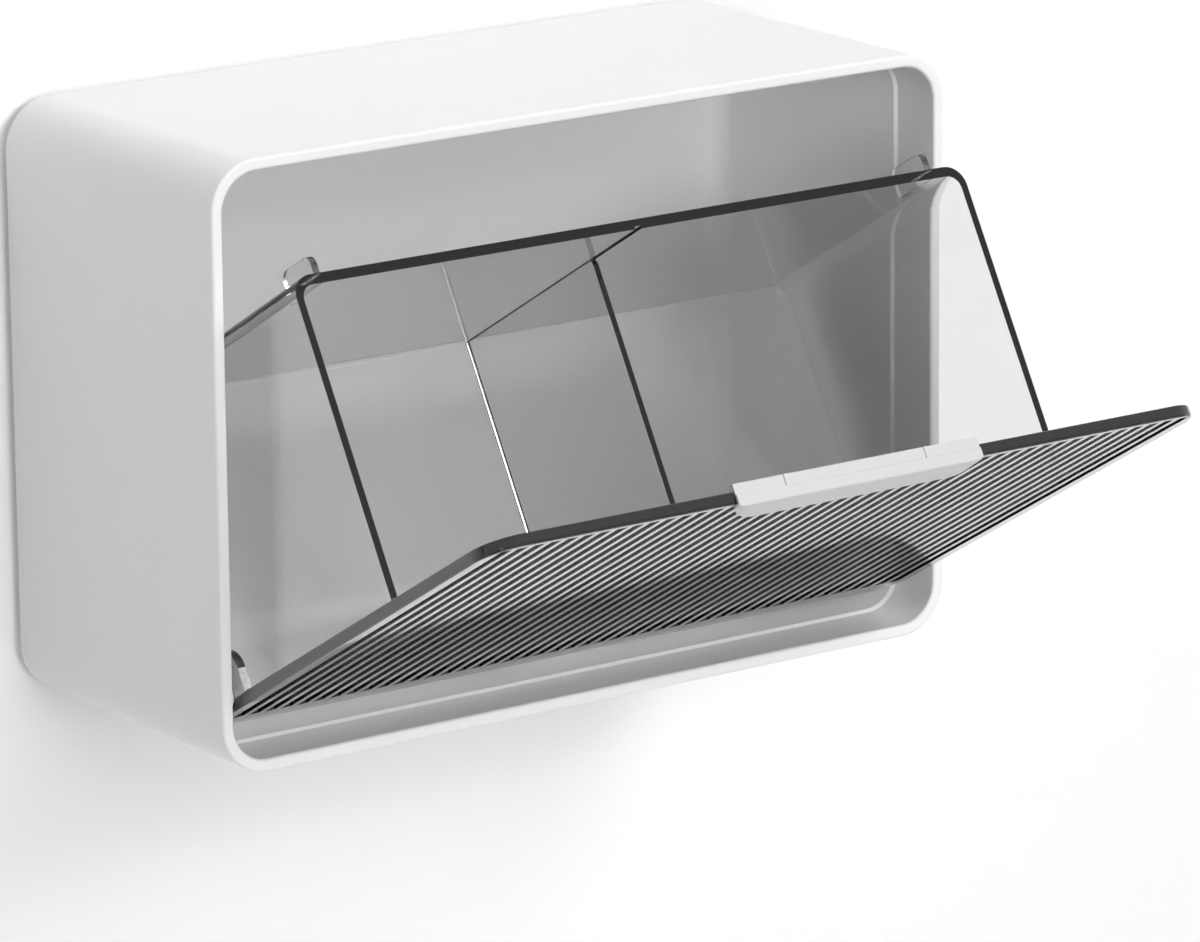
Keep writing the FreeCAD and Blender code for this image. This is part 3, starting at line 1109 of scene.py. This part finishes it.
@dataclass
class Studio:
    """A plain pale wall and floor, soft lamps and the camera.

    The camera's yaw, pitch and roll are in degrees, and its lens is in millimetres.
    """

    wall_reach: float = 3.0
    floor_drop: float = 0.9
    wall_gap: float = 0.4 * MM
    paint: tuple[float, float, float] = (0.86, 0.86, 0.86)
    wall_glow: float = 0.1
    lamps: tuple[Softbox, ...] = (
        Softbox("key_lamp", (0.75, -1.7, 1.1), 0.8, 20.5),
        Softbox("front_lamp", (-0.3, -1.5, 0.26), 0.8, 14.0),
        Softbox("top_lamp", (0.1, -0.5, 2.0), 1.4, 8.5),
        Softbox("rear_lamp", (0.1, 1.6, 0.3), 0.8, 3.0),
    )
    lamp_target: tuple[float, float, float] = (0.0, -0.04, 0.0)
    camera_place: tuple[float, float, float] = (-871.22 * MM, -1302.71 * MM, 361.47 * MM)
    yaw: float = 35.48
    pitch: float = 14.63
    roll: float = -0.60
    lens: float = 230.36
    shift: tuple[float, float] = (0.0029, -0.0029)
    clip: tuple[float, float] = (0.05, 20.0)

    def build(self) -> None:
        """Sets up the stage, the lamps, the world and the camera."""
        scene = bpy.context.scene
        scene.view_settings.view_transform = "Standard"
        self._stage()
        self._world()
        self._lamps()
        self._camera()

    def _paint(self) -> bpy.types.Material:
        """The stage's paint: pale, with a glow that only the camera sees, and clear from behind."""
        box = Paintbox("stage_paint")
        strength = seen_directly(box.tree) * self.wall_glow
        both = box.node("ShaderNodeAddShader")
        box.join(box.node("ShaderNodeBsdfDiffuse", Color=(*self.paint, 1.0)), both.inputs[0])
        box.join(box.node("ShaderNodeEmission", Strength=strength), both.inputs[1])
        behind = box.wire(box.node("ShaderNodeNewGeometry"), "Backfacing")
        mix = box.node("ShaderNodeMixShader", Fac=behind)
        box.join(both, mix.inputs[1])
        box.join(box.node("ShaderNodeBsdfTransparent"), mix.inputs[2])
        return box.finish(mix)

    def _stage(self) -> None:
        """Makes the wall and the floor."""
        paint = self._paint()
        reach = self.wall_reach
        upright = Matrix.Rotation(QUARTER_TURN, 4, "X")
        wall_middle = Matrix.Translation((0, self.wall_gap, reach - self.floor_drop))
        floor_middle = Matrix.Translation((0, self.wall_gap - reach, -self.floor_drop))
        for name, place in (("stage_wall", wall_middle @ upright), ("stage_floor", floor_middle)):
            bm = bmesh.new()
            bmesh.ops.create_grid(bm, x_segments=1, y_segments=1, size=reach, matrix=place)
            obj = linked(name, bm)
            dress(obj, paint)
            obj.visible_shadow = False

    def _world(self) -> None:
        """A pale surround that the camera sees and that lights nothing."""
        world = bpy.data.worlds.new("studio_world")
        bpy.context.scene.world = world
        world.use_nodes = True
        tree = world.node_tree
        tree.nodes.clear()
        background = tree.nodes.new("ShaderNodeBackground")
        tree.links.new(seen_directly(tree).socket, background.inputs["Strength"])
        output = tree.nodes.new("ShaderNodeOutputWorld")
        tree.links.new(background.outputs[0], output.inputs["Surface"])

    def _lamps(self) -> None:
        """Hangs the lamps, each turned to the object and hidden from mirror reflections."""
        for lamp in self.lamps:
            data = bpy.data.lights.new(lamp.name, "AREA")
            data.energy = lamp.power
            data.size = lamp.size
            obj = bpy.data.objects.new(lamp.name, data)
            obj.location = lamp.place
            toward = Vector(self.lamp_target) - Vector(lamp.place)
            obj.rotation_euler = toward.to_track_quat("-Z", "Y").to_euler()
            obj.visible_glossy = False
            bpy.context.scene.collection.objects.link(obj)

    def _camera(self) -> None:
        """Places the camera where the photograph was taken from."""
        yaw, pitch, roll = (math.radians(angle) for angle in (self.yaw, self.pitch, self.roll))
        forward = Vector((
            math.sin(yaw) * math.cos(pitch), math.cos(yaw) * math.cos(pitch), -math.sin(pitch),
        ))
        right = Vector((math.cos(yaw), -math.sin(yaw), 0.0))
        up = right.cross(forward)
        across = math.cos(roll) * right + math.sin(roll) * up
        upward = math.cos(roll) * up - math.sin(roll) * right
        data = bpy.data.cameras.new("photo_camera")
        data.lens = self.lens
        data.shift_x, data.shift_y = self.shift
        data.clip_start, data.clip_end = self.clip
        camera = bpy.data.objects.new("photo_camera", data)
        turn = Matrix((across, upward, -forward)).transposed().to_4x4()
        camera.matrix_world = Matrix.Translation(self.camera_place) @ turn
        bpy.context.scene.collection.objects.link(camera)
        bpy.context.scene.camera = camera


def corners(box: tuple[Vector, Vector]) -> list[list[float]]:
    """A box's two corners as plain lists."""
    return [list(corner) for corner in box]


def main() -> None:
    """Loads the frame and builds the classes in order."""
    logging.basicConfig(level=logging.INFO, format="%(name)s: %(message)s")
    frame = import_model()
    joints = {joint["name"]: joint for joint in frame["joints"]}
    finishes = Finishes()
    Casing(finishes).build()
    TiltBin(finishes, joints["bin_tilt"]).build()
    Studio().build()


if __name__ == "__main__":
    main()
